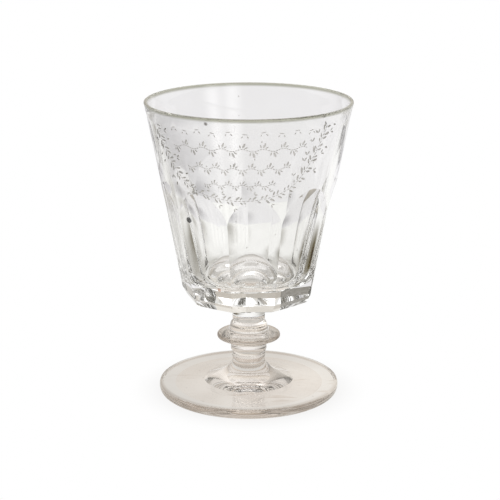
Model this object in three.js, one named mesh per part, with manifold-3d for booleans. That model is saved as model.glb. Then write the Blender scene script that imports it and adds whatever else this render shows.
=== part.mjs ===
// A small footed dram glass: a cone-shaped bowl with nine cut flutes, a short knopped stem
// and a round foot. Each gather of glass that the maker fused on is a mesh of its own.
// Millimetres, +Z up. The origin is the middle of the foot, on the surface it stands on.

import * as THREE from 'three';
import { mergeVertices } from 'three/addons/utils/BufferGeometryUtils.js';
import Module from 'manifold-3d';

// Overall sizes.
const HEIGHT = 90;
const RIM_RADIUS = 30.9;
const FOOT_RADIUS = 27.36;
const SIDES = 72; // flats round every turned surface

// The four fused joints, from the bowl down, and the radius of the glass at each.
const JOINT = { bowl: 28.8, neck: 22.4, knop: 12.1, collar: 10.1 };
const JOINT_RADIUS = { bowl: 6.0, neck: 4.75, knop: 4.95, collar: 4.85 };

// Bowl: the blown blank, a little fuller below the shoulder, with a thick base.
const FLARE = 0.196; // outside radius gained per millimetre of height
const SHOULDER = { top: 66, bottom: 58 };
const BODY = { radius: 20.15, height: 32.4, flare: 0.188 }; // the outside below the shoulder
const RIM_WALL = 1.05;
const UNDERSIDE_RISE = 0.1; // the underside climbs this much per millimetre outwards
const INSIDE_WALL = [[29.85, 89.475], [25.3, 72], [21.5, 54], [18.3, 41]];
const DOME = { height: 41.5, radius: 18, spread: 12 }; // the floor is pushed up in the middle
const CORNER_PULL = 0.55; // fullness of the corner between floor and wall

// Flutes: flat panels ground on a wheel, running out upwards in the wheel's own curve.
// Each is [azimuth in degrees from -Y towards +X, how much deeper it is ground].
const FLUTES = [
  [4, -0.23],
  [44, 0.25],
  [86, 0],
  [126, 0.1],
  [166, -0.05],
  [206, 0.08],
  [246, -0.1],
  [286, 0],
  [326, 0],
];
const PANEL_FOOT = { radius: 18.89, height: 32.4 };
const PANEL_SLOPE = 0.1767; // radius gained per millimetre of height
const WHEEL_RADIUS = 50;
const RUN_OUT_HEIGHT = 55.5; // where the panel starts to curve outwards
const CHAMFER = { drop: 2.4, inset: 1.3 }; // bevel between the panels and the underside

// Knop and foot.
const BLADE = { height: 17.55, radius: 9.63, half: 0.72 }; // the sharp ring round the knop
const FOOT_TOP = 3.3; // top of the foot's plate, near its edge
const STAND = { outer: 26.2, inner: 22.5 }; // the flat ring that the glass stands on
const PONTIL = { radius: 5.2, depth: 0.5 }; // the ground-out hollow under the foot
const FOOT_HOLLOW = 0.7; // how far the underside is dished inside the standing ring

const wasm = await Module();
wasm.setup();

const at = (radius, height) => new THREE.Vector2(radius, height);

// Points on an arc of a profile, angles in degrees from straight outwards.
function arc(centre, radius, from, to, steps) {
  const points = [];
  for (let i = 0; i <= steps; i++) {
    const angle = THREE.MathUtils.degToRad(from + ((to - from) * i) / steps);
    points.push(at(centre.x + radius * Math.cos(angle), centre.y + radius * Math.sin(angle)));
  }
  return points;
}

// Points on a smooth line through a few places of a profile.
function smooth(places, steps) {
  const curve = new THREE.SplineCurve(places.map(([r, z]) => at(r, z)));
  return curve.getPoints(steps);
}

// A turned shape: the profile runs from the axis, up the outside, back to the axis.
const turned = (profile) => new THREE.LatheGeometry(profile, SIDES).rotateX(Math.PI / 2);

// Merges a geometry's seams and poles and gives it to the boolean library.
function solid(geometry) {
  const shell = geometry.clone();
  shell.deleteAttribute('normal');
  shell.deleteAttribute('uv');
  const merged = mergeVertices(shell, 1e-3);
  const corners = [];
  for (let i = 0; i < merged.index.count; i += 3) {
    const [a, b, c] = [0, 1, 2].map((k) => merged.index.getX(i + k));
    if (a !== b && b !== c && c !== a) corners.push(a, b, c);
  }
  return new wasm.Manifold(
    new wasm.Mesh({
      numProp: 3,
      vertProperties: merged.attributes.position.array,
      triVerts: new Uint32Array(corners),
    }),
  );
}

function geometryOf(body) {
  const { vertProperties, triVerts } = body.getMesh();
  const geometry = new THREE.BufferGeometry();
  geometry.setAttribute('position', new THREE.BufferAttribute(vertProperties, 3));
  geometry.setIndex(new THREE.BufferAttribute(triVerts, 1));
  geometry.computeVertexNormals();
  return geometry;
}

// Outside radius of the bowl before it is cut.
function blankRadius(height) {
  if (height >= SHOULDER.top) return RIM_RADIUS - FLARE * (HEIGHT - height);
  return BODY.radius + BODY.flare * (height - BODY.height);
}

// The rounded corner from the end of the inside wall to the start of the raised floor.
function floorCorner(above, end, start, lean) {
  const pull = CORNER_PULL * start.distanceTo(end);
  const leaving = end.clone().sub(above).normalize().multiplyScalar(pull).add(end);
  const arriving = at(Math.cos(lean), -Math.sin(lean)).multiplyScalar(pull).add(start);
  return new THREE.CubicBezierCurve(end, leaving, arriving, start).getPoints(6);
}

// The bowl before it is cut: outside, rounded rim, inside wall and raised floor.
function bowlBlank() {
  const rim = at(RIM_RADIUS - RIM_WALL / 2, HEIGHT - RIM_WALL / 2);
  const joint = JOINT_RADIUS.bowl;
  const fillet = 1.1;
  const edge = BODY.radius + 0.5;
  const underside = (radius) => JOINT.bowl + UNDERSIDE_RISE * (radius - joint);
  const outside = [31, SHOULDER.bottom - 8, SHOULDER.bottom, SHOULDER.top, SHOULDER.top + 8, HEIGHT - 4];
  const wall = smooth(INSIDE_WALL, 9);
  const lean = Math.asin(DOME.spread / DOME.radius);
  const domeStart = 90 - THREE.MathUtils.radToDeg(lean);
  const dome = arc(at(0, DOME.height - DOME.radius), DOME.radius, domeStart, 90, 5);
  return turned([
    at(0, JOINT.bowl),
    at(joint, JOINT.bowl),
    at(joint + fillet, underside(joint + 2 * fillet)),
    at(joint + 3 * fillet, underside(joint + 3 * fillet)),
    at(edge - 2, underside(edge - 2)),
    ...smooth(outside.map((height) => [blankRadius(height), height]), 10),
    ...arc(rim, RIM_WALL / 2, -11, 180, 6),
    ...wall.slice(1, -1),
    ...floorCorner(wall.at(-2), wall.at(-1), dome[0], lean),
    ...dome.slice(1),
  ]);
}

// The space that one flute is ground out of: bevel, straight panel, then the wheel's own curve.
function fluteCut(azimuth, deeper) {
  const lean = Math.atan(PANEL_SLOPE);
  const foot = at(PANEL_FOOT.radius - deeper, PANEL_FOOT.height);
  const bend = at(foot.x + PANEL_SLOPE * (RUN_OUT_HEIGHT - foot.y), RUN_OUT_HEIGHT);
  const wheel = at(bend.x + WHEEL_RADIUS * Math.cos(lean), bend.y - WHEEL_RADIUS * Math.sin(lean));
  const start = 180 - THREE.MathUtils.radToDeg(lean);
  const reach = RIM_RADIUS + 10;
  const below = foot.y - 2 * CHAMFER.drop;
  const section = new THREE.Shape([
    at(reach, below),
    at(foot.x - 2 * CHAMFER.inset, below),
    foot,
    ...arc(wheel, WHEEL_RADIUS, start, start - 30, 14),
  ]);
  return new THREE.ExtrudeGeometry(section, { depth: 2 * RIM_RADIUS, bevelEnabled: false })
    .translate(0, 0, -RIM_RADIUS)
    .rotateX(Math.PI / 2)
    .rotateZ(THREE.MathUtils.degToRad(azimuth - 90));
}

function bowlShape() {
  const cut = (body, [azimuth, deeper]) => body.subtract(solid(fluteCut(azimuth, deeper)));
  return geometryOf(FLUTES.reduce(cut, solid(bowlBlank())));
}

// The drawn neck: flares up into the bowl and pinches in at the knop.
function neckShape() {
  const start = [JOINT_RADIUS.neck, JOINT.neck];
  const end = [JOINT_RADIUS.bowl, JOINT.bowl];
  const side = smooth([start, [4.95, 23.2], [4.95, 26.6], [5.25, 28], end], 7);
  return geometryOf(solid(turned([at(0, JOINT.neck), ...side, at(0, JOINT.bowl)])));
}

// The knop: a pressed bladed ring between two swellings of the stem.
function knopShape() {
  const edge = at(BLADE.radius - BLADE.half, BLADE.height);
  const start = [JOINT_RADIUS.knop, JOINT.knop];
  const end = [JOINT_RADIUS.neck, JOINT.neck];
  const under = [edge.x, edge.y - BLADE.half];
  const over = [edge.x, edge.y + BLADE.half];
  const below = smooth([start, [5.4, 13.1], [5.5, 14.6], [6.1, 15.9], [7.65, 16.47], under], 8);
  const above = smooth([over, [7.65, 18.54], [6.2, 19.1], [5.75, 20.3], [5.45, 21.5], end], 8);
  const round = arc(edge, BLADE.half, -90, 90, 4).slice(1, -1);
  const profile = [at(0, JOINT.knop), ...below, ...round, ...above, at(0, JOINT.neck)];
  return geometryOf(solid(turned(profile)));
}

// The collar: a thin disc of glass between the knop and the foot.
function collarShape() {
  const middle = (JOINT.knop + JOINT.collar) / 2;
  const start = [JOINT_RADIUS.collar, JOINT.collar];
  const end = [JOINT_RADIUS.knop, JOINT.knop];
  const side = smooth([start, [5.1, middle], end], 4);
  return geometryOf(solid(turned([at(0, JOINT.collar), ...side, at(0, JOINT.knop)])));
}

// The foot: a stepped mound on a flat plate with a rounded edge, dished underneath.
function footShape() {
  const underside = [
    at(0, FOOT_HOLLOW + PONTIL.depth),
    at(PONTIL.radius * 0.7, FOOT_HOLLOW + PONTIL.depth * 0.7),
    at(PONTIL.radius, FOOT_HOLLOW),
    at(STAND.inner, 0),
    at(STAND.outer, 0),
  ];
  const top = [JOINT_RADIUS.collar, JOINT.collar];
  const rim = [[STAND.outer, 0], [27.05, 0.7], [FOOT_RADIUS, 2], [27.1, 3], [26.3, FOOT_TOP]];
  const edge = smooth(rim, 6);
  const mound = smooth([[13.6, 3.5], [12.4, 3.95], [9.45, 5.2], [7, 6.8], [5.3, 8.8], top], 9);
  const profile = [...underside, ...edge.slice(1), ...mound, at(0, JOINT.collar)];
  return geometryOf(solid(turned(profile)));
}

const glassOf = (color, roughness) => new THREE.MeshStandardMaterial({ color, roughness, metalness: 0 });
const clearGlass = () => glassOf(0xf4f3f1, 0.04);
const warmGlass = () => glassOf(0xe6dcd5, 0.06);

const PIECES = [
  ['bowl', bowlShape, clearGlass],
  ['neck', neckShape, clearGlass],
  ['knop', knopShape, warmGlass],
  ['collar', collarShape, warmGlass],
  ['foot', footShape, warmGlass],
];

const glass = new THREE.Group();
for (const [name, shape, material] of PIECES) {
  const mesh = new THREE.Mesh(shape(), material());
  mesh.name = name;
  glass.add(mesh);
}

export default glass;
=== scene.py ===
"""A small footed dram glass, blown and cut by hand: bowl, neck, knop, collar and foot."""

import math
import random

import bmesh
import bpy
from mathutils import Matrix, Vector
from mathutils.geometry import interpolate_bezier


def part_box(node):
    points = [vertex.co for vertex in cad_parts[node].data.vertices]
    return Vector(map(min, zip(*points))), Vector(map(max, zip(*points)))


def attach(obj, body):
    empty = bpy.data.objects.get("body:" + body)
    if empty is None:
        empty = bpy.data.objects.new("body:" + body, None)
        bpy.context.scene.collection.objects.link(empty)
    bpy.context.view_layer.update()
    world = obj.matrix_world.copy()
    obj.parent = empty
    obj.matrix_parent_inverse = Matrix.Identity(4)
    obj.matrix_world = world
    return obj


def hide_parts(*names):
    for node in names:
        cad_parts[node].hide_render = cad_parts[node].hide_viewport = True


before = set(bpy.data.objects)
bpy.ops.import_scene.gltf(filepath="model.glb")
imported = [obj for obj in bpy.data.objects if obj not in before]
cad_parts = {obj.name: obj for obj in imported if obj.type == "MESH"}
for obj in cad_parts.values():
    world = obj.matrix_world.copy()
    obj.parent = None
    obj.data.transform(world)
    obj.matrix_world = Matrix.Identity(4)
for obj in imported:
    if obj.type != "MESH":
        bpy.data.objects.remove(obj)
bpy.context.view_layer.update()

MM = 0.001
AROUND = 288  # steps round every turned piece
CREASE = math.radians(11)  # edges sharper than this stay crisp
SEAM_SLOT, MATT_SLOT = 1, 2  # material slots after the clear glass

# The fused joints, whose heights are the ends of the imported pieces, and the radius at each.
JOINT = {
    "bowl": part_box("bowl")[0].z / MM,
    "neck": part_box("neck")[0].z / MM,
    "knop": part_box("knop")[0].z / MM,
    "collar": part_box("collar")[0].z / MM,
}
JOINT_RADIUS = {"bowl": 6.0, "neck": 4.75, "knop": 4.95, "collar": 4.85}

# Bowl: the blown blank, from the rim down.
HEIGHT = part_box("bowl")[1].z / MM
RIM_RADIUS = 30.9
RIM_WALL = 1.05
FLARE = 0.196  # outside radius gained per millimetre of height
SHOULDER = {"top": 66, "bottom": 58}  # below this the blank is a little fuller
BODY = {"radius": 20.15, "height": 32.4, "flare": 0.188}
UNDERSIDE_RISE = 0.1
INSIDE_WALL = [(29.85, 89.475), (25.3, 72), (21.5, 54), (18.3, 41)]
DOME = {"height": 41.5, "radius": 18, "spread": 12}  # the floor is pushed up in the middle
CORNER_PULL = 0.55

# Flutes: each is (azimuth in degrees from the front towards +X, how much deeper it is ground).
FLUTES = [
    (4, -0.23), (44, 0.25), (86, 0), (126, 0.1), (166, -0.05),
    (206, 0.08), (246, -0.1), (286, 0), (326, 0),
]
PANEL_FOOT = (18.89, 32.4)
PANEL_SLOPE = 0.1767
WHEEL_RADIUS = 50
RUN_OUT_HEIGHT = 55.5
CHAMFER = {"drop": 2.4, "inset": 1.3}

# Engraving. Every cut is a shallow boat: BOAT says how wide it is along its length.
ENGRAVED_DEPTH = 0.12
BOAT = [(0, 0.1), (0.2, 0.8), (0.5, 1), (0.8, 0.8), (1, 0.1)]
BOAT_FACES = (10, 6)  # round it and along it
CLEAR_OF = 0.03  # the least gap between two cuts
HAIRLINE = 0.24  # width of the wreath's stem
# The wreath's line as (azimuth in degrees, height). Its leaves are larger above HIGH_LEAVES.
WREATH = [
    (-61, 86), (-57, 80.5), (-51, 75), (-42, 70), (-28, 66.9), (-6, 65.6),
    (14, 66.7), (28, 69.8), (37, 75), (43, 80.5), (47, 86),
]
HIGH_LEAVES = 72
# Each vine is (left azimuth, right azimuth, height, reach), and each mark of the upper border is
# (azimuth, height, lean in degrees).
VINES = [(-47, 34, 80.9, 1.75), (-38, 25, 75.2, 1.55), (-28, 16, 70.3, 1.2)]
BORDER = [
    (-45, 86.1, 12), (-37, 85.6, -8), (-29, 86.3, 6), (-20, 85.7, -14), (-11, 86.2, 9),
    (-2, 85.6, -5), (8, 86.2, 12), (18, 85.7, -10), (27, 86.2, 5), (36, 85.8, 14),
]

# Knop and foot.
BLADE = {"height": 17.55, "radius": 9.63, "half": 0.72}
FOOT_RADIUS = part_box("foot")[1].x / MM
FOOT_TOP = 3.3
STAND = {"outer": 26.2, "inner": 22.5}
PONTIL = {"radius": 5.2, "depth": 0.5}
FOOT_HOLLOW = 0.7

# Glass: pairs of tints that it drifts between, and (from, to, tint) in millimetres where painted
# shade darkens it. Each spot is (place, from, to, tint): painted shade over the inside floor, then three
# dark flecks.
IOR = 1.5
BOWL_TINTS = ((0.99, 0.99, 0.985), (0.975, 0.975, 0.965))
STEM_TINTS = ((0.95, 0.915, 0.885), (0.91, 0.87, 0.83))
FOOT_TINTS = ((0.99, 0.95, 0.92), (0.88, 0.825, 0.785))
MATT_TINTS = ((0.34, 0.325, 0.295), (0.56, 0.54, 0.5))
# Painted shade: a dark line tinted into the glass round the top of the rim.
RIM_PAINTED_SHADE = (88.6, 89.4, (0.5, 0.5, 0.42))
BOWL_SHADE_AND_FLECKS = [
    # painted shade greying the inside floor and dome; the three spots after it are dark flecks
    ((0, 0, 52), 19.5, 17.5, (0.72, 0.69, 0.68)),
    ((-17.2, -16.5, 57.8), 1.05, 0.8, (0.02, 0.02, 0.02)),
    ((-12, -28.2, 88.3), 0.7, 0.35, (0.12, 0.11, 0.1)),
    ((-8.6, -18, 37), 0.8, 0.45, (0.4, 0.22, 0.16)),
]
# Painted shade: a brown-grey darkening tinted into the blade's outer edge.
BLADE_EDGE_PAINTED_SHADE = (7.8, 9.5, (0.62, 0.54, 0.47))
# Painted shade: the foot's outer edge tinted brown-grey.
FOOT_EDGE_PAINTED_SHADE = (25.8, 27.1, (0.56, 0.48, 0.415))
DRAG_TINT = (0.7, 0.61, 0.54)
WEAR = 0.02  # roughness where the glass is most worn
WAVE = {"bowl": 0.00002, "stem": 0.000015, "foot": 0.00002}  # depth of the waves in metres
TOOL_MARKS = 0.05  # how deep the tool marks are beside the waves
RINGS_DEPTH = 0.000002
RINGS = {"Scale": 95, "Distortion": 2, "Detail": 0}
SPECKS = {"scale": 210, "size": 0.05, "tint": (0.25, 0.22, 0.19)}
MATT_ROUGHNESS = (0.45, 0.65)
MATT_GRAIN_DEPTH = 0.00003
# How fine each pattern is, in repeats per metre.
FINE = {"tint": 55, "drag": 55, "wear": 300, "wave": 45, "marks": 70, "matt": 260, "grain": 4000}

# Tones that the glass sees round it: a pale table, a paler grey floor beyond, a dim room with a
# bright back wall and a soft light above on the left. Each row is (distance in mm or height in
# degrees, azimuth from the back, reach, tone).
TABLE_EDGE = (0.193, 0.196)
TABLE_TONE = (1.0, 0.995, 0.98)
FLOOR_TONE = (0.915, 0.905, 0.92)
ROOM_TONE = (0.085, 0.08, 0.07)
ON_TABLE = [
    (0, 0, 35, (-0.3, -0.32, -0.34)),
    (45, 0, 40, (-0.45, -0.46, -0.48)),
    (45, 60, 40, (-0.4, -0.41, -0.43)),
    (45, 120, 40, (-0.35, -0.36, -0.38)),
    (45, 180, 40, (-0.35, -0.36, -0.38)),
    (45, 240, 40, (-0.55, -0.56, -0.58)),
    (45, 300, 40, (-0.4, -0.41, -0.43)),
    (24, 90, 30, (0.16, 0.16, 0.15)),
    (90, 45, 60, (-1, -1.02, -1.06)),
    (90, 90, 60, (-0.9, -0.918, -0.954)),
    (90, 135, 60, (-0.35, -0.357, -0.371)),
    (90, 180, 60, (-0.35, -0.357, -0.371)),
    (90, 225, 60, (-0.35, -0.357, -0.371)),
    (90, 270, 60, (-0.8, -0.816, -0.848)),
    (90, 315, 60, (-0.5, -0.51, -0.53)),
    (160, 180, 70, (-0.4, -0.42, -0.44)),
    (160, 150, 70, (-0.3, -0.315, -0.33)),
    (160, 210, 70, (-0.3, -0.315, -0.33)),
    (160, 270, 70, (-0.25, -0.263, -0.275)),
    (160, 300, 70, (-0.3, -0.31, -0.33)),
    (165, 335, 60, (-0.5, -0.51, -0.53)),
]
BEYOND_TABLE = [
    (250, -165, 130, (-0.4, -0.4, -0.4)),
    (250, -135, 130, (-0.4, -0.4, -0.4)),
    (250, -105, 130, (-0.4, -0.4, -0.4)),
    (250, 105, 130, (-0.4, -0.4, -0.4)),
    (250, 135, 130, (-0.4, -0.4, -0.4)),
    (250, 165, 130, (-0.4, -0.4, -0.4)),
    (250, -75, 130, (-0.25, -0.25, -0.25)),
    (250, -45, 130, (-0.3, -0.3, -0.3)),
    (250, -20, 90, (-0.42, -0.42, -0.42)),
    (366, -43, 100, (-0.6, -0.6, -0.6)),
    (250, 45, 130, (0.05, 0.05, 0.05)),
    (420, -60, 220, (-0.22, -0.22, -0.22)),
    (420, -30, 220, (-0.08, -0.08, -0.08)),
    (420, 30, 220, (0.05, 0.05, 0.05)),
    (420, 60, 220, (0.1, 0.1, 0.1)),
    (420, 120, 220, (-0.4, -0.4, -0.4)),
    (420, 150, 220, (-0.4, -0.4, -0.4)),
    (420, 180, 220, (-0.4, -0.4, -0.4)),
    (420, -120, 220, (-0.4, -0.4, -0.4)),
    (420, -150, 220, (-0.4, -0.4, -0.4)),
]
CONTACT_SHADE = (0, 0, 38, (-0.4, -0.42, -0.44))  # seen by the camera under the foot
IN_ROOM = [
    (6, -15, 0.52, (0.36, 0.33, 0.29)),
    (6, 15, 0.52, (0.42, 0.385, 0.34)),
    (6, 45, 0.52, (0.35, 0.326, 0.301)),
    (6, 75, 0.52, (0.15, 0.14, 0.129)),
    (24, 0, 0.5, (0.52, 0.505, 0.475)),
    (24, -30, 0.5, (0.3, 0.29, 0.27)),
    (24, 30, 0.5, (0.6, 0.588, 0.57)),
    (24, -60, 0.5, (0.3, 0.294, 0.285)),
    (24, 60, 0.5, (0.3, 0.294, 0.285)),
    (8, 136, 0.28, (2.4, 2.4, 2.4)),
    (8, 160, 0.3, (2.4, 2.4, 2.4)),
    (46, -60, 0.6, (1.3, 1.3, 1.3)),
    (46, -15, 0.6, (0.5, 0.5, 0.5)),
    (46, 30, 0.6, (0.6, 0.6, 0.6)),
    (68, -45, 0.6, (1.7, 1.7, 1.7)),
    (68, 45, 0.6, (1.2, 1.2, 1.2)),
    (90, 0, 0.5, (1.1, 1.1, 1.1)),
    (22, -90, 0.45, (0.25, 0.24, 0.23)),
    (22, 90, 0.45, (0.3, 0.29, 0.27)),
]

# Camera: lens and shift as Blender has them, place in millimetres, tilt in degrees below level.
CAMERA = {"lens": 118.04, "shift": 0.0026, "place": (0, -476.2, 176.4), "down": 15.52}
BOUNCES = {"max": 64, "see through": 32}
FLOOR = {"radius": 1.5, "sides": 128}


# ---------------------------------------------------------------- profiles


def arc(centre, radius, start, end, steps):
    """Places on an arc of a profile, angles in degrees from straight outwards."""
    turns = [math.radians(start + (end - start) * i / steps) for i in range(steps + 1)]
    return [(centre[0] + radius * math.cos(a), centre[1] + radius * math.sin(a)) for a in turns]


def smooth(places, steps):
    """A smooth line through a few places of a profile, in this many steps between each two."""
    knots = [Vector((r, 0, z)) for r, z in places]
    ends = [knots[0], *knots, knots[-1]]
    line = [knots[0]]
    for a, b, c, d in zip(ends, ends[1:], ends[2:], ends[3:]):
        line += interpolate_bezier(b, b + (c - a) / 6, c - (d - b) / 6, c, steps + 1)[1:]
    return [(p.x, p.z) for p in line]


def straight(a, b, steps):
    """Places on a straight stretch of a profile, its first end left out."""
    return [tuple(Vector(a).lerp(Vector(b), i / steps)) for i in range(1, steps + 1)]


# ---------------------------------------------------------------- mesh making


def turn(profile, steps=AROUND, first=0.0):
    """Spins a profile of (radius, height) in millimetres round the axis into a closed bmesh."""
    bm = bmesh.new()
    across, along = math.cos(math.radians(first)), math.sin(math.radians(first))
    verts = [bm.verts.new((r * across * MM, r * along * MM, z * MM)) for r, z in profile]
    edges = [bm.edges.new(pair) for pair in zip(verts, verts[1:])]
    bmesh.ops.spin(
        bm, geom=verts + edges, cent=(0, 0, 0), axis=(0, 0, 1), angle=math.tau, steps=steps, use_merge=True
    )
    bmesh.ops.remove_doubles(bm, verts=bm.verts, dist=1e-7)
    bmesh.ops.dissolve_degenerate(bm, edges=bm.edges, dist=1e-7)
    bmesh.ops.recalc_face_normals(bm, faces=bm.faces)
    return bm


def make(name, bm, materials=()):
    """Turns a bmesh into an object in the scene, smooth but for its creases."""
    mesh = bpy.data.meshes.new(name)
    bm.to_mesh(mesh)
    bm.free()
    for material in materials:
        mesh.materials.append(material)
    mesh.polygons.foreach_set("use_smooth", [True] * len(mesh.polygons))
    mesh.set_sharp_from_angle(angle=CREASE)
    piece = bpy.data.objects.new(name, mesh)
    bpy.context.collection.objects.link(piece)
    return piece


def carve(piece, tool, operation):
    """Cuts a piece with a tool object and throws the tool away."""
    cut = piece.modifiers.new("cut", "BOOLEAN")
    cut.operation = operation
    cut.solver = "MANIFOLD"
    cut.material_mode = "TRANSFER"
    cut.object = tool
    shaped = bpy.data.meshes.new_from_object(piece.evaluated_get(bpy.context.evaluated_depsgraph_get()))
    piece.modifiers.clear()
    piece.data = shaped
    bpy.data.objects.remove(tool)
    shaped.polygons.foreach_set("use_smooth", [True] * len(shaped.polygons))
    shaped.set_sharp_from_angle(angle=CREASE)


# ---------------------------------------------------------------- bowl


def blank_radius(height):
    """Outside radius of the bowl before it is cut."""
    if height >= SHOULDER["top"]:
        return RIM_RADIUS - FLARE * (HEIGHT - height)
    return BODY["radius"] + BODY["flare"] * (height - BODY["height"])


def blank_outside():
    """The outside of the bowl from just above its base to just under its rim."""
    low, high = SHOULDER["bottom"], SHOULDER["top"]
    heights = (31, low - 8, low, high, high + 8, HEIGHT - 4)
    return smooth([(blank_radius(z), z) for z in heights], 6)


def skin_radius(height):
    """Radius of the finished outside at a height above the flutes."""
    for (r0, z0), (r1, z1) in zip(OUTSIDE, OUTSIDE[1:]):
        if z0 <= height <= z1:
            return r0 + (r1 - r0) * (height - z0) / (z1 - z0)
    return blank_radius(height)


def bowl_blank():
    """The blown bowl before it is cut."""
    rim = (RIM_RADIUS - RIM_WALL / 2, HEIGHT - RIM_WALL / 2)
    joint = JOINT_RADIUS["bowl"]
    fillet = 1.1
    edge = BODY["radius"] + 0.5
    wall = smooth(INSIDE_WALL, 14)
    lean = math.degrees(math.asin(DOME["spread"] / DOME["radius"]))
    dome = arc((0, DOME["height"] - DOME["radius"]), DOME["radius"], 90 - lean, 90, 10)

    def underside(radius):
        return JOINT["bowl"] + UNDERSIDE_RISE * (radius - joint)

    return turn([
        (0, JOINT["bowl"]),
        (joint, JOINT["bowl"]),
        *smooth([(joint, JOINT["bowl"]), (joint + fillet, underside(joint + 2 * fillet)),
                 (joint + 3 * fillet, underside(joint + 3 * fillet))], 4)[1:],
        (edge - 2, underside(edge - 2)),
        *OUTSIDE,
        *arc(rim, RIM_WALL / 2, -11, 180, 12),
        *wall[1:-1],
        *floor_corner(wall[-2], wall[-1], dome[0], lean),
        *dome[1:],
    ])


OUTSIDE = blank_outside()


def floor_corner(above, end, start, lean):
    """The rounded corner from the end of the inside wall to the start of the raised floor."""
    above, end, start = Vector((*above, 0)), Vector((*end, 0)), Vector((*start, 0))
    inwards = Vector((-math.cos(math.radians(lean)), math.sin(math.radians(lean)), 0))
    pull = CORNER_PULL * (start - end).length
    leave = end + (end - above).normalized() * pull
    corner = interpolate_bezier(end, leave, start - inwards * pull, start, 11)
    return [(p.x, p.y) for p in corner]


def flute_wheel(azimuth, deeper):
    """The space one flute is ground out of: bevel, flat panel, then the wheel's own curve."""
    lean = math.atan(PANEL_SLOPE)
    foot = Vector(PANEL_FOOT) - Vector((deeper, 0))
    bend = (foot.x + PANEL_SLOPE * (RUN_OUT_HEIGHT - foot.y), RUN_OUT_HEIGHT)
    wheel = (bend[0] + WHEEL_RADIUS * math.cos(lean), bend[1] - WHEEL_RADIUS * math.sin(lean))
    start = 180 - math.degrees(lean)
    reach = RIM_RADIUS + 10
    profile = [
        (reach, foot.y - 2 * CHAMFER["drop"]),
        (foot.x - 2 * CHAMFER["inset"], foot.y - 2 * CHAMFER["drop"]),
        *straight((foot.x - CHAMFER["inset"], foot.y - CHAMFER["drop"]), tuple(foot), 1),
        *straight(tuple(foot), bend, 4),
        *arc(wheel, WHEEL_RADIUS, start, start - 30, 30)[1:],
    ]
    bm = bmesh.new()
    section = [bm.verts.new((-RIM_RADIUS * MM, -r * MM, z * MM)) for r, z in profile]
    face = bm.faces.new(section)
    swept = bmesh.ops.extrude_face_region(bm, geom=[face])
    moved = [v for v in swept["geom"] if isinstance(v, bmesh.types.BMVert)]
    bmesh.ops.translate(bm, verts=moved, vec=(2 * RIM_RADIUS * MM, 0, 0))
    round_to_place = Matrix.Rotation(math.radians(azimuth), 3, "Z")
    bmesh.ops.rotate(bm, verts=bm.verts, cent=(0, 0, 0), matrix=round_to_place)
    bmesh.ops.recalc_face_normals(bm, faces=bm.faces)
    return bm


# ---------------------------------------------------------------- engraving


class Engraver:
    """Collects shallow boat-shaped wheel cuts on the outside of the bowl, none touching another."""

    def __init__(self, seed):
        self.cuts = []  # one matrix for each cut
        self.taken = {}  # places already cut, by the millimetre square they lie in
        self.chance = random.Random(seed)

    def free(self, ends, width):
        """True if a stroke between these two ends keeps clear of all the strokes before it."""
        places = [(ends[0].lerp(ends[1], t), width * w) for t, w in BOAT]
        squares = [(math.floor(p.x), math.floor(p.y)) for p, _ in places]
        for (p, w), (i, j) in zip(places, squares):
            near = [t for a in (-1, 0, 1) for b in (-1, 0, 1) for t in self.taken.get((i + a, j + b), ())]
            if any((p - q).length < (w + v) / 2 + CLEAR_OF for q, v in near):
                return False
        for place, square in zip(places, squares):
            self.taken.setdefault(square, []).append(place)
        return True

    def stroke(self, place, turn, length, width):
        """One cut, its middle at (mm round the bowl, height), turned from level by an angle."""
        place = Vector(place)
        along = Vector((math.cos(turn), math.sin(turn))) * length / 2
        if not self.free((place - along, place + along), width):
            return
        radius = skin_radius(place.y)
        azimuth = place.x / radius
        across, down = math.cos(math.atan(FLARE)), math.sin(math.atan(FLARE))
        level = Vector((math.cos(azimuth), math.sin(azimuth), 0))
        outwards = Vector((math.sin(azimuth) * across, -math.cos(azimuth) * across, -down))
        stand = Matrix((level, outwards.cross(level), outwards)).transposed().to_4x4()
        stand.translation = Vector((radius * math.sin(azimuth), -radius * math.cos(azimuth), place.y)) * MM
        size = Matrix.Diagonal((length / 2 * MM, width / 2 * MM, ENGRAVED_DEPTH * MM, 1))
        self.cuts.append(stand @ Matrix.Rotation(turn, 4, "Z") @ size)

    def leaf(self, root, turn, length):
        """A leaf that grows from its root in a direction."""
        middle = Vector(root) + Vector((math.cos(turn), math.sin(turn))) * (length / 2 + 0.12)
        self.stroke(middle, turn, length, length * self.chance.uniform(0.34, 0.42))

    def stem(self, line, dash, gap, width=HAIRLINE):
        """A thin line cut as a row of dashes. Returns (place, direction) at every dash."""
        stops = []
        left = dash / 2
        for a, b in zip(line, line[1:]):
            a, b = Vector(a), Vector(b)
            span = (b - a).length
            turn = math.atan2(b.y - a.y, b.x - a.x)
            while left <= span:
                place = a.lerp(b, left / span)
                self.stroke(place, turn, dash, width)
                stops.append((place, turn))
                left += dash + gap
            left -= span
        return stops


def engraving_tool(cuts):
    """All the cuts as one mesh, each a copy of the same small boat."""
    boat = bmesh.new()
    bmesh.ops.create_uvsphere(boat, u_segments=BOAT_FACES[0], v_segments=BOAT_FACES[1], radius=1)
    for face in boat.faces:
        face.material_index = MATT_SLOT
    shape = bpy.data.meshes.new("boat")
    boat.to_mesh(shape)
    boat.free()
    bm = bmesh.new()
    for matrix in cuts:
        copy = shape.copy()
        copy.transform(matrix)
        bm.from_mesh(copy)
        bpy.data.meshes.remove(copy)
    return bm


def round_the_bowl(places):
    """(Azimuth in degrees, height) pairs turned into (mm round the bowl, height)."""
    return [(math.radians(a) * skin_radius(z), z) for a, z in places]


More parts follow.
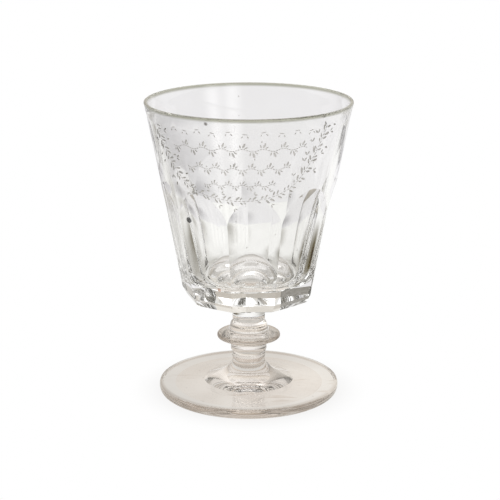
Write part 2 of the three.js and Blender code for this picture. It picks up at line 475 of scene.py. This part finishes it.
def engraved_wreath(tool):
    """Leafy sprays down both sides of the front that meet in a garland below."""
    line = smooth(round_the_bowl(WREATH), 12)
    for i, (place, turn) in enumerate(tool.stem(line, 1.0, 0.22)):
        for side in (-1, 1):
            if (i + (side > 0)) % 3 == 0:
                continue
            fork = turn + side * math.radians(tool.chance.uniform(38, 62))
            root = place + Vector((-math.sin(turn), math.cos(turn))) * side * 0.22
            high = place.y > HIGH_LEAVES
            tool.leaf(root, fork, tool.chance.uniform(1.0, 1.75) * (1.25 if high else 1))
            if i % 4 == 1 or high and i % 2:
                tip = root + Vector((math.cos(fork), math.sin(fork))) * (2.9 if high else 2.35)
                tool.leaf(tip, fork + side * 0.5, 1.3 if high else 0.95)
                tool.leaf(tip, fork - side * 0.7, 1.2 if high else 0.95)


def engraved_vine(tool, left, right, height, reach):
    """A running vine between two azimuths: a waving stem with a sprig of three leaves at each wave."""
    (start, _), (end, _) = round_the_bowl([(left, height), (right, height)])
    count = round((end - start) / (1.7 * reach))
    step = (end - start) / count
    for i in range(count):
        up = 1 if i % 2 else -1
        root = Vector((start + (i + 0.5) * step, height + 0.34 * up * reach))
        for side, length in ((0, 0.95), (-1, 0.6), (1, 0.6)):
            turn = math.radians(up * (66 - 34 * side) + tool.chance.uniform(-6, 6))
            tool.leaf(root + Vector((0.5 * side, -0.1 * up * abs(side))), turn, reach * length)
    waves = [
        Vector((start + (end - start) * k / (8 * count), height - 0.22 * reach * math.sin(math.pi * k / 8)))
        for k in range(8 * count + 1)
    ]
    tool.stem(waves, 0.7, 0.1, 0.26)


def engraved_border(tool):
    """The broken line and little twigs above the scrolls."""
    for azimuth, height, lean in BORDER:
        (place,) = round_the_bowl([(azimuth, height)])
        tool.stroke(place, math.radians(lean), 1.6, 0.26)
        tool.leaf(Vector(place) + Vector((0.5, -0.35)), math.radians(lean - 50), 0.85)
        tool.leaf(Vector(place) + Vector((-0.5, -0.4)), math.radians(lean - 125), 0.75)


# ---------------------------------------------------------------- stem and foot


def neck_shape():
    side = smooth([(JOINT_RADIUS["neck"], JOINT["neck"]), (4.95, 23.2), (4.95, 26.6), (5.25, 28),
                   (JOINT_RADIUS["bowl"], JOINT["bowl"])], 6)
    return turn([(0, JOINT["neck"]), *side, (0, JOINT["bowl"])])


def knop_shape():
    edge = (BLADE["radius"] - BLADE["half"], BLADE["height"])
    below = smooth([(JOINT_RADIUS["knop"], JOINT["knop"]), (5.4, 13.1), (5.5, 14.6), (6.1, 15.9),
                    (7.65, 16.47), (edge[0], edge[1] - BLADE["half"])], 6)
    above = smooth([(edge[0], edge[1] + BLADE["half"]), (7.65, 18.54), (6.2, 19.1), (5.75, 20.3),
                    (5.45, 21.5), (JOINT_RADIUS["neck"], JOINT["neck"])], 6)
    blade = arc(edge, BLADE["half"], -90, 90, 12)[1:-1]
    return turn([(0, JOINT["knop"]), *below, *blade, *above, (0, JOINT["neck"])])


def collar_shape():
    middle = (JOINT["knop"] + JOINT["collar"]) / 2
    side = smooth([(JOINT_RADIUS["collar"], JOINT["collar"]), (5.1, middle),
                   (JOINT_RADIUS["knop"], JOINT["knop"])], 6)
    return turn([(0, JOINT["collar"]), *side, (0, JOINT["knop"])])


def foot_shape():
    scar = [
        (0, FOOT_HOLLOW + PONTIL["depth"]),
        (PONTIL["radius"] * 0.7, FOOT_HOLLOW + PONTIL["depth"] * 0.7),
        (PONTIL["radius"], FOOT_HOLLOW),
    ]
    underside = [
        *smooth(scar, 4),
        *straight((PONTIL["radius"], FOOT_HOLLOW), (STAND["inner"], 0), 6),
        *straight((STAND["inner"], 0), (STAND["outer"], 0), 2),
    ]
    edge = smooth([(STAND["outer"], 0), (27.05, 0.7), (FOOT_RADIUS, 2), (27.1, 3), (26.3, FOOT_TOP)], 5)
    mound = smooth([(13.6, 3.5), (12.4, 3.95), (9.45, 5.2), (7, 6.8), (5.3, 8.8),
                    (JOINT_RADIUS["collar"], JOINT["collar"])], 6)
    plate = straight((26.3, FOOT_TOP), (13.6, 3.5), 6)[:-1]
    return turn([*underside, *edge[1:], *plate, *mound, (0, JOINT["collar"])])


# ---------------------------------------------------------------- materials


def new_material(name):
    material = bpy.data.materials.new(name)
    material.use_nodes = True
    nodes = material.node_tree.nodes
    nodes.clear()
    return material, nodes, material.node_tree.links


def noise(nodes, links, where, scale, detail=3.0, rough=0.55):
    """A cloudy pattern from 0 to 1, mostly near its middle."""
    texture = nodes.new("ShaderNodeTexNoise")
    texture.inputs["Scale"].default_value = scale
    texture.inputs["Detail"].default_value = detail
    texture.inputs["Roughness"].default_value = rough
    links.new(where, texture.inputs["Vector"])
    return texture.outputs["Fac"]


def ramp(nodes, links, value, start, end, low=0.0, high=1.0):
    """A value spread from one range to another, smoothly and without going past its ends."""
    spread = nodes.new("ShaderNodeMapRange")
    spread.interpolation_type = "SMOOTHSTEP"
    for socket, number in zip(("From Min", "From Max", "To Min", "To Max"), (start, end, low, high)):
        spread.inputs[socket].default_value = number
    links.new(value, spread.inputs["Value"])
    return spread.outputs[0]


def blend(nodes, links, factor, first, second):
    """Two colours mixed by a factor; each is a colour or the output of a node."""
    mix = nodes.new("ShaderNodeMix")
    mix.data_type = "RGBA"
    links.new(factor, mix.inputs["Factor"])
    for socket, colour in (("A", first), ("B", second)):
        if isinstance(colour, tuple):
            mix.inputs[socket].default_value = (*colour, 1)
        else:
            links.new(colour, mix.inputs[socket])
    return mix.outputs["Result"]


def stretched(nodes, links, where, scale):
    """Places scaled by a different amount along each axis, so that a pattern on them is drawn out."""
    stretch = nodes.new("ShaderNodeVectorMath")
    stretch.operation = "MULTIPLY"
    stretch.inputs[1].default_value = scale
    links.new(where, stretch.inputs[0])
    return stretch.outputs[0]


def bump(nodes, links, height, distance, under=None):
    """A relief of this depth in metres, laid over another one if there is one."""
    relief = nodes.new("ShaderNodeBump")
    relief.inputs["Distance"].default_value = distance
    links.new(height, relief.inputs["Height"])
    if under:
        links.new(under, relief.inputs["Normal"])
    return relief.outputs["Normal"]


def away_from(nodes, links, where, place):
    """How far it is from a place, in metres."""
    away = nodes.new("ShaderNodeVectorMath")
    away.operation = "DISTANCE"
    away.inputs[1].default_value = place
    links.new(where, away.inputs[0])
    return away.outputs["Value"]


def glass_shader(nodes):
    glass = nodes.new("ShaderNodeBsdfPrincipled")
    glass.inputs["IOR"].default_value = IOR
    glass.inputs["Transmission Weight"].default_value = 1
    return glass


def glass_tint(nodes, links, where, tints, high, wide, spots, turned):
    """The colour of the glass at each place."""
    drift = ramp(nodes, links, noise(nodes, links, where, FINE["tint"]), 0.35, 0.65)
    tint = blend(nodes, links, drift, *tints)
    parts = nodes.new("ShaderNodeSeparateXYZ")
    links.new(where, parts.inputs[0])
    radius = nodes.new("ShaderNodeVectorMath")
    radius.operation = "LENGTH"
    links.new(stretched(nodes, links, where, (1, 1, 0)), radius.inputs[0])
    zones = [(away_from(nodes, links, where, Vector(place) * MM), row) for place, *row in spots]
    zones += [(parts.outputs["Z"], row) for row in high]
    zones += [(radius.outputs["Value"], row) for row in wide]
    # Each zone lays its tint over the glass: painted shade at the rim, blade edge, foot edge and inside
    # floor, and the dark flecks.
    for value, (start, end, colour) in zones:
        tint = blend(nodes, links, ramp(nodes, links, value, start * MM, end * MM), tint, colour)
    cells = nodes.new("ShaderNodeTexVoronoi")
    cells.inputs["Scale"].default_value = SPECKS["scale"]
    links.new(where, cells.inputs["Vector"])
    speck = ramp(nodes, links, cells.outputs["Distance"], SPECKS["size"], SPECKS["size"] * 0.6)
    tint = blend(nodes, links, speck, tint, SPECKS["tint"])
    if turned:
        drag = noise(nodes, links, stretched(nodes, links, where, (0.8, 4, 1)), FINE["drag"], 4, 0.6)
        tint = blend(nodes, links, ramp(nodes, links, drag, 0.59, 0.68), tint, DRAG_TINT)
    return tint


def glass_relief(nodes, links, where, turned, wave):
    """Faint waves, level tool marks and, on a turned piece, rings."""
    relief = bump(nodes, links, noise(nodes, links, where, FINE["wave"], 0), wave)
    marks = noise(nodes, links, stretched(nodes, links, where, (1, 1, 5)), FINE["marks"], 0)
    relief = bump(nodes, links, marks, wave * TOOL_MARKS, relief)
    if turned:
        rings = nodes.new("ShaderNodeTexWave")
        rings.wave_type = "RINGS"
        rings.rings_direction = "Z"
        for socket, number in RINGS.items():
            rings.inputs[socket].default_value = number
        links.new(where, rings.inputs["Vector"])
        relief = bump(nodes, links, rings.outputs["Fac"], RINGS_DEPTH, relief)
    return relief


def worn_glass_with_painted_shade(name, tints, high=(), wide=(), spots=(), turned=False, wave=WAVE["bowl"]):
    """Old clear glass: an uneven tint, faint waves and tool marks, wear, and a few specks of ash.

    high and wide are (from, to, tint): the glass takes that tint above a height or past a radius, as
    painted shade.
    spots are (place, from, to, tint): it takes that tint close to a place, as painted shade or a dark
    fleck.
    """
    material, nodes, links = new_material(name)
    out = nodes.new("ShaderNodeOutputMaterial")
    glass = glass_shader(nodes)
    where = nodes.new("ShaderNodeTexCoord").outputs["Object"]
    tint = glass_tint(nodes, links, where, tints, high, wide, spots, turned)
    links.new(tint, glass.inputs["Base Color"])
    wear = ramp(nodes, links, noise(nodes, links, where, FINE["wear"], 3), 0.58, 0.8, 0, WEAR)
    links.new(wear, glass.inputs["Roughness"])
    links.new(glass_relief(nodes, links, where, turned, wave), glass.inputs["Normal"])
    links.new(glass.outputs[0], out.inputs[0])
    return material


def fused_seam():
    """Where two gathers are fused there is no surface between them."""
    material, nodes, links = new_material("fused_seam")
    out = nodes.new("ShaderNodeOutputMaterial")
    through = nodes.new("ShaderNodeBsdfTransparent")
    links.new(through.outputs[0], out.inputs[0])
    return material


def matt_cut(name):
    """Glass left grey and unpolished by the engraver's wheel: a patchy grey tint, rough and finely grained.
    """
    material, nodes, links = new_material(name)
    out = nodes.new("ShaderNodeOutputMaterial")
    glass = glass_shader(nodes)
    where = nodes.new("ShaderNodeTexCoord").outputs["Object"]
    patchy = ramp(nodes, links, noise(nodes, links, where, FINE["matt"]), 0.35, 0.65)
    links.new(blend(nodes, links, patchy, *MATT_TINTS), glass.inputs["Base Color"])
    grain = noise(nodes, links, where, FINE["grain"], 4, 0.7)
    links.new(ramp(nodes, links, grain, 0.3, 0.7, *MATT_ROUGHNESS), glass.inputs["Roughness"])
    links.new(bump(nodes, links, grain, MATT_GRAIN_DEPTH), glass.inputs["Normal"])
    links.new(glass.outputs[0], out.inputs[0])
    return material


def open_seams(piece, *heights):
    """Gives the flat faces at these joint heights the fused-seam slot."""
    for face in piece.data.polygons:
        level = any(abs(face.center.z - z * MM) < 1e-6 for z in heights)
        if level and abs(face.normal.z) > 0.999:
            face.material_index = SEAM_SLOT


# ---------------------------------------------------------------- the pieces

seam = fused_seam()
# The bowl, stem and foot glass carry painted shade at the rim, inside floor, blade edge and foot edge.
bowl_clear = worn_glass_with_painted_shade("bowl_glass", BOWL_TINTS, high=[RIM_PAINTED_SHADE], spots=BOWL_SHADE_AND_FLECKS)
stem_warm = worn_glass_with_painted_shade("stem_glass", STEM_TINTS, wide=[BLADE_EDGE_PAINTED_SHADE], wave=WAVE["stem"])
foot_warm = worn_glass_with_painted_shade("foot_glass", FOOT_TINTS, wide=[FOOT_EDGE_PAINTED_SHADE], turned=True, wave=WAVE["foot"])

bowl_matt = matt_cut("engraved_matt")
bowl = make("blown_bowl", bowl_blank(), [bowl_clear, seam, bowl_matt])
for azimuth, deeper in FLUTES:
    carve(bowl, make("wheel", flute_wheel(azimuth, deeper), [bowl_clear, seam, bowl_matt]), "DIFFERENCE")
tool = Engraver(5)
engraved_border(tool)
for row in VINES:
    engraved_vine(tool, *row)
engraved_wreath(tool)
carve(bowl, make("wheel", engraving_tool(tool.cuts), [bowl_clear, seam, bowl_matt]), "DIFFERENCE")
neck = make("drawn_neck", neck_shape(), [bowl_clear, seam])
knop = make("bladed_knop", knop_shape(), [stem_warm, seam])
collar = make("fused_collar", collar_shape(), [stem_warm, seam])
foot = make("round_foot", foot_shape(), [foot_warm, seam])

open_seams(bowl, JOINT["bowl"])
open_seams(neck, JOINT["bowl"], JOINT["neck"])
open_seams(knop, JOINT["neck"], JOINT["knop"])
open_seams(collar, JOINT["knop"], JOINT["collar"])
open_seams(foot, JOINT["collar"])

for piece, node in ((bowl, "bowl"), (neck, "neck"), (knop, "knop"), (collar, "collar"), (foot, "foot")):
    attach(piece, "root")
    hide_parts(node)

# ---------------------------------------------------------------- stage, light and camera


def toned(nodes, links, place, ground, patches):
    """A ground tone with soft round patches of light on it, or of shade where a tone is negative."""
    total = nodes.new("ShaderNodeVectorMath")
    total.inputs[0].default_value = ground
    for centre, reach, tone in patches:
        fade = ramp(nodes, links, away_from(nodes, links, place, centre), reach, 0)
        patch = nodes.new("ShaderNodeVectorMath")
        patch.operation = "SCALE"
        patch.inputs[0].default_value = tone
        links.new(fade, patch.inputs["Scale"])
        more = nodes.new("ShaderNodeVectorMath")
        links.new(total.outputs[0], more.inputs[0])
        links.new(patch.outputs[0], more.inputs[1])
        total = more
    kept = nodes.new("ShaderNodeVectorMath")
    kept.operation = "MAXIMUM"
    links.new(total.outputs[0], kept.inputs[0])
    return kept.outputs[0]


def table_patches(rows):
    """Patches on the table from (distance in mm, azimuth from the back, reach in mm, tone)."""
    turns = [math.radians(azimuth) for _, azimuth, _, _ in rows]
    return [
        ((math.sin(a) * far * MM, math.cos(a) * far * MM, 0), reach * MM, tone)
        for a, (far, _, reach, tone) in zip(turns, rows)
    ]


def room_patches(rows):
    """Patches of the room from (height in degrees, azimuth from the back, reach, tone)."""
    rows = [(math.radians(up), math.radians(azimuth), reach, tone) for up, azimuth, reach, tone in rows]
    return [
        ((math.cos(up) * math.sin(a), math.cos(up) * math.cos(a), math.sin(up)), reach, tone)
        for up, a, reach, tone in rows
    ]


def white_to_camera(nodes, links, kind, seen, out, shade=None):
    """Gives the toned shader to the glass and white to the camera, with any contact shade on it."""
    path = nodes.new("ShaderNodeLightPath")
    white = nodes.new(kind)
    white.inputs["Color"].default_value = (1, 1, 1, 1)
    if shade:
        links.new(shade, white.inputs["Color"])
    mix = nodes.new("ShaderNodeMixShader")
    links.new(path.outputs["Is Camera Ray"], mix.inputs[0])
    links.new(seen.outputs[0], mix.inputs[1])
    links.new(white.outputs[0], mix.inputs[2])
    links.new(mix.outputs[0], out.inputs[0])


def floor_disc():
    bm = bmesh.new()
    bmesh.ops.create_circle(bm, cap_ends=True, segments=FLOOR["sides"], radius=FLOOR["radius"])
    material, nodes, links = new_material("pale_table")
    out = nodes.new("ShaderNodeOutputMaterial")
    where = nodes.new("ShaderNodeTexCoord").outputs["Object"]
    reach = nodes.new("ShaderNodeVectorMath")
    reach.operation = "LENGTH"
    links.new(where, reach.inputs[0])
    beyond = nodes.new("ShaderNodeMapRange")
    beyond.inputs["From Min"].default_value = TABLE_EDGE[0]
    beyond.inputs["From Max"].default_value = TABLE_EDGE[1]
    links.new(reach.outputs["Value"], beyond.inputs["Value"])
    tone = nodes.new("ShaderNodeMix")
    tone.data_type = "RGBA"
    links.new(beyond.outputs[0], tone.inputs["Factor"])
    links.new(toned(nodes, links, where, TABLE_TONE, table_patches(ON_TABLE)), tone.inputs["A"])
    links.new(toned(nodes, links, where, FLOOR_TONE, table_patches(BEYOND_TABLE)), tone.inputs["B"])
    seen = nodes.new("ShaderNodeEmission")
    links.new(tone.outputs["Result"], seen.inputs["Color"])
    contact = toned(nodes, links, where, (1, 1, 1), table_patches([CONTACT_SHADE]))
    white_to_camera(nodes, links, "ShaderNodeEmission", seen, out, contact)
    floor = make("pale_table", bm, [material])


def room_light():
    world = bpy.data.worlds.new("soft_room")
    bpy.context.scene.world = world
    world.use_nodes = True
    nodes = world.node_tree.nodes
    links = world.node_tree.links
    nodes.clear()
    out = nodes.new("ShaderNodeOutputWorld")
    where = nodes.new("ShaderNodeTexCoord").outputs["Generated"]
    room = nodes.new("ShaderNodeBackground")
    links.new(toned(nodes, links, where, ROOM_TONE, room_patches(IN_ROOM)), room.inputs["Color"])
    white_to_camera(nodes, links, "ShaderNodeBackground", room, out)


def place_camera():
    data = bpy.data.cameras.new("camera")
    data.sensor_width = 36
    data.lens = CAMERA["lens"]
    data.shift_x = CAMERA["shift"]
    data.clip_start = 0.01
    data.clip_end = 20
    camera = bpy.data.objects.new("camera", data)
    camera.location = [v * MM for v in CAMERA["place"]]
    camera.rotation_euler = (math.radians(90 - CAMERA["down"]), 0, 0)
    bpy.context.collection.objects.link(camera)
    bpy.context.scene.camera = camera


floor_disc()
room_light()
place_camera()
bpy.context.scene.view_settings.view_transform = "Standard"
cycles = bpy.context.scene.cycles
cycles.max_bounces = BOUNCES["max"]
cycles.transmission_bounces = BOUNCES["max"]
cycles.glossy_bounces = BOUNCES["max"]
cycles.transparent_max_bounces = BOUNCES["see through"]
